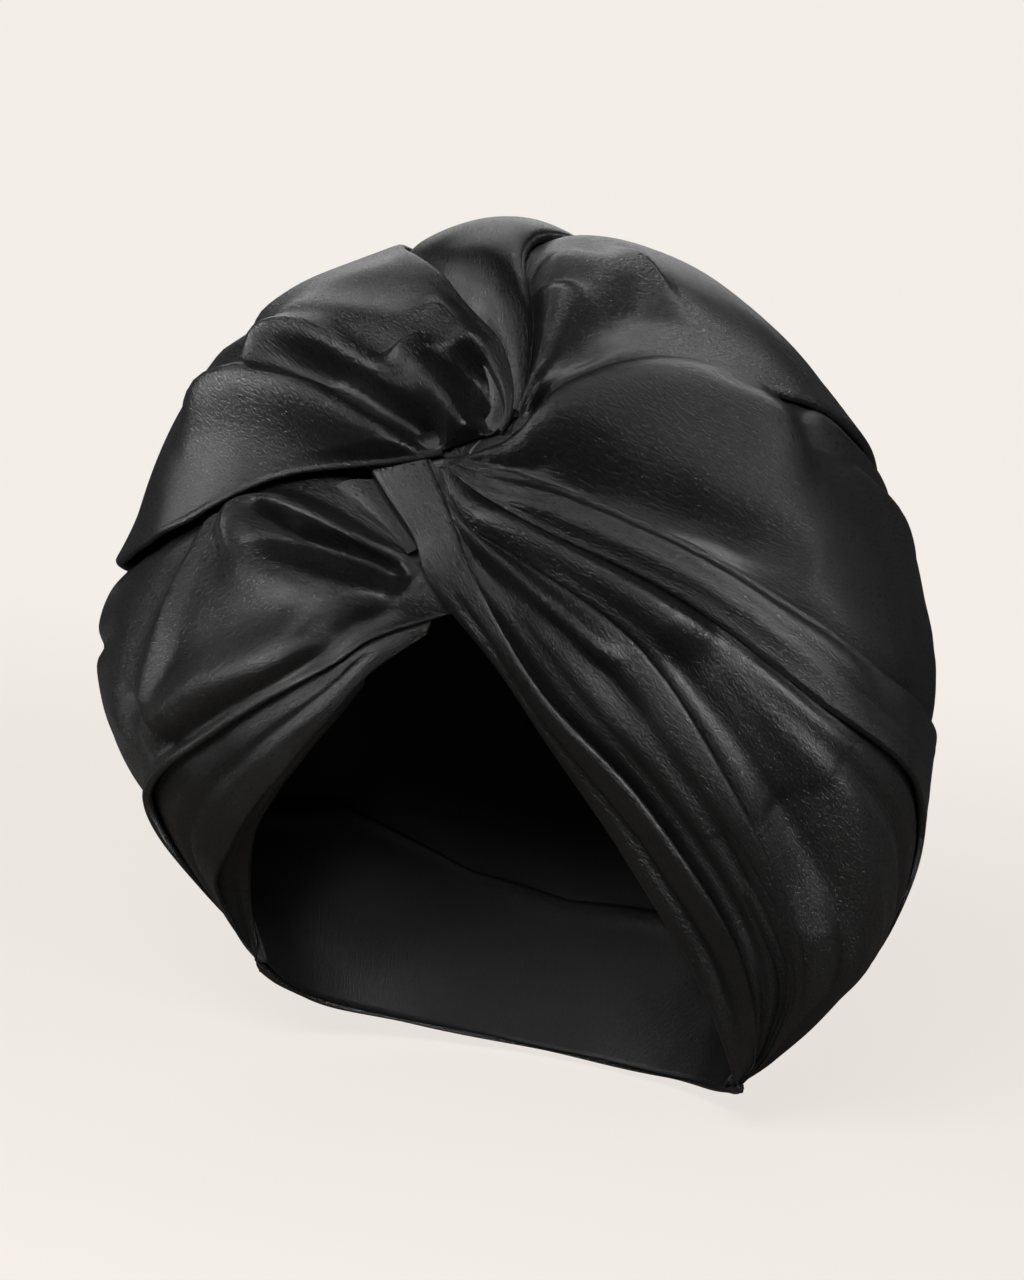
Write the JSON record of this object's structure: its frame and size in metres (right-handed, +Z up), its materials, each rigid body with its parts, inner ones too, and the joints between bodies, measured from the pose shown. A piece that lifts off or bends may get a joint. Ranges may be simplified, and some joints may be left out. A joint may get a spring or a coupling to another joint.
{
  "type": "turban headwrap",
  "caption": "Pre-tied satin turban headwrap: pleats fan out from a twist over the forehead, run round the crown and gather at the nape; lined, with an open face and nape.",
  "frame": {"origin": "The middle of the head opening, where a head sits in the wrap", "axes": "+Z is up out of the crown of the head, -Y is the front of the face, +X is the wearer's left"},
  "size_m": [0.2448, 0.214, 0.2566],
  "materials": {
    "satin": "black crepe-back satin, soft sheen, fine crinkled grain",
    "lining": "black satin lining, duller than the outside"
  },
  "bodies": {
    "root": {"front_rim_band": "satin", "rim_pleat": "satin", "lower_side_pleat": "satin", "side_pleat": "satin", "shoulder_pleat": "satin", "upper_side_pleat": "satin", "crown_pleat": "satin", "upper_wrap": "satin", "lower_wrap": "satin", "opening_band": "satin", "opening_roll": "satin", "twist_tail": "satin", "nape_hem": "satin", "lining_crown": "lining", "lining_band": "lining"}
  },
  "joints": []
}
